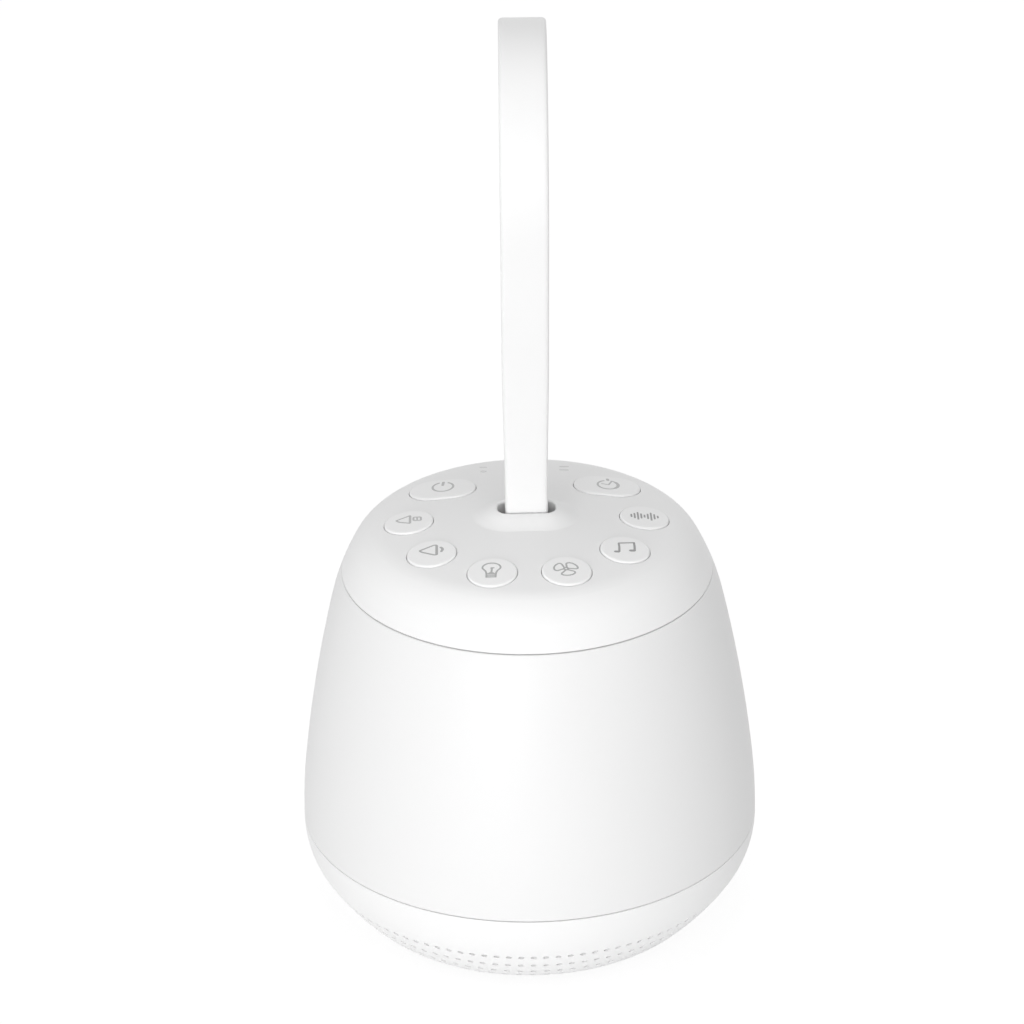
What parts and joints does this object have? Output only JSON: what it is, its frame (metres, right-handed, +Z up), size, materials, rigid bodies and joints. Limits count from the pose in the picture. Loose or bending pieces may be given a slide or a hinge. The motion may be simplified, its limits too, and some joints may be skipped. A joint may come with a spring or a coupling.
{
  "type": "white noise sound machine",
  "caption": "Portable lantern-shaped sound machine: domed cap with push buttons, translucent body, perforated speaker base and a folding silicone carrying loop.",
  "frame": {"origin": "centre of the rubber foot's underside, on the surface that the machine stands on", "axes": "+Z up along the body's axis, -Y towards the front (light and fan buttons), +Y towards the charging socket, X along the strap's width and fold axis"},
  "size_m": [0.1, 0.1, 0.2066],
  "materials": {
    "cap_plastic": "fine satin white ABS",
    "lantern_plastic": "milky translucent white polycarbonate, satin",
    "base_plastic": "fine satin white ABS",
    "key_plastic": "fine satin white ABS",
    "inner_plastic": "as-moulded white ABS",
    "strap_silicone": "matte white silicone",
    "foot_rubber": "matte light grey rubber",
    "foam": "black closed-cell foam",
    "steel": "zinc plated",
    "magnet": "ferrite",
    "paper": "black speaker paper",
    "copper": "enamelled copper wire",
    "board": "green solder mask on glass fibre",
    "white_board": "white solder mask on glass fibre",
    "chip": "black epoxy",
    "led": "phosphor in a white package",
    "switch": "black nylon",
    "plunger": "natural nylon",
    "connector": "ivory nylon",
    "cell_wrap": "aluminised film",
    "lead_jacket": "black silicone wire",
    "pipe": "clear moulded acrylic"
  },
  "bodies": {
    "housing": {"top_cap": "cap_plastic", "lantern_shell": "lantern_plastic", "base_shell": "base_plastic", "foot_ring": "foot_rubber", "core_frame": "inner_plastic", "base_screws": "steel", "core_screws": "steel", "speaker_frame": "steel", "speaker_gasket": "foam", "speaker_surround": "foam", "speaker_magnet": "magnet", "speaker_yoke": "steel", "speaker_screws": "steel", "light_board": "white_board", "light_chips": "led", "light_reflector": "inner_plastic", "light_screws": "steel", "battery_cell": "cell_wrap", "battery_pads": "foam", "battery_lead": "lead_jacket", "button_lead": "lead_jacket", "speaker_lead": "lead_jacket", "main_board": "board", "board_chips": "chip", "lead_sockets": "connector", "light_header": "connector", "main_screws": "steel", "usb_socket": "steel", "usb_tongue": "switch", "button_board": "board", "cap_reflector": "inner_plastic", "button_screws": "steel", "key_switches": "switch", "indicator_pipes": "pipe", "indicator_leds": "led", "strap_anchor": "strap_silicone", "strap_pin": "steel"},
    "light_key": {"light_button": "key_plastic", "light_plunger": "plunger"},
    "fan_key": {"fan_button": "key_plastic", "fan_plunger": "plunger"},
    "volume_down_key": {"volume_down_button": "key_plastic", "volume_down_plunger": "plunger"},
    "lullaby_key": {"lullaby_button": "key_plastic", "lullaby_plunger": "plunger"},
    "volume_up_key": {"volume_up_button": "key_plastic", "volume_up_plunger": "plunger"},
    "white_noise_key": {"white_noise_button": "key_plastic", "white_noise_plunger": "plunger"},
    "power_key": {"power_button": "key_plastic", "power_plunger": "plunger"},
    "timer_key": {"timer_button": "key_plastic", "timer_plunger": "plunger"},
    "handle": {"handle_strap": "strap_silicone"},
    "cone": {"speaker_cone": "paper", "voice_coil": "copper"}
  },
  "joints": [
    {"name": "light_press", "type": "slide", "parent": "housing", "child": "light_key", "axis": [0, 0, -1], "range_m": [0, 0.0005], "stiffness_N_per_m": 3200, "springref_m": -0.0001},
    {"name": "fan_press", "type": "slide", "parent": "housing", "child": "fan_key", "axis": [0, 0, -1], "range_m": [0, 0.0005], "stiffness_N_per_m": 3200, "springref_m": -0.0001},
    {"name": "volume_down_press", "type": "slide", "parent": "housing", "child": "volume_down_key", "axis": [0, 0, -1], "range_m": [0, 0.0005], "stiffness_N_per_m": 3200, "springref_m": -0.0001},
    {"name": "lullaby_press", "type": "slide", "parent": "housing", "child": "lullaby_key", "axis": [0, 0, -1], "range_m": [0, 0.0005], "stiffness_N_per_m": 3200, "springref_m": -0.0001},
    {"name": "volume_up_press", "type": "slide", "parent": "housing", "child": "volume_up_key", "axis": [0, 0, -1], "range_m": [0, 0.0005], "stiffness_N_per_m": 3200, "springref_m": -0.0001},
    {"name": "white_noise_press", "type": "slide", "parent": "housing", "child": "white_noise_key", "axis": [0, 0, -1], "range_m": [0, 0.0005], "stiffness_N_per_m": 3200, "springref_m": -0.0001},
    {"name": "power_press", "type": "slide", "parent": "housing", "child": "power_key", "axis": [0, 0, -1], "range_m": [0, 0.0005], "stiffness_N_per_m": 3200, "springref_m": -0.0001},
    {"name": "timer_press", "type": "slide", "parent": "housing", "child": "timer_key", "axis": [0, 0, -1], "range_m": [0, 0.0005], "stiffness_N_per_m": 3200, "springref_m": -0.0001},
    {"name": "handle_fold", "type": "hinge", "parent": "housing", "child": "handle", "pos_m": [0, 0, 0.0992], "axis": [1, 0, 0], "range_deg": [-60, 60], "stiffness_Nm_per_rad": 0.03},
    {"name": "cone_travel", "type": "slide", "parent": "housing", "child": "cone", "axis": [0, 0, 1], "range_m": [-0.001, 0.001], "stiffness_N_per_m": 1500}
  ]
}
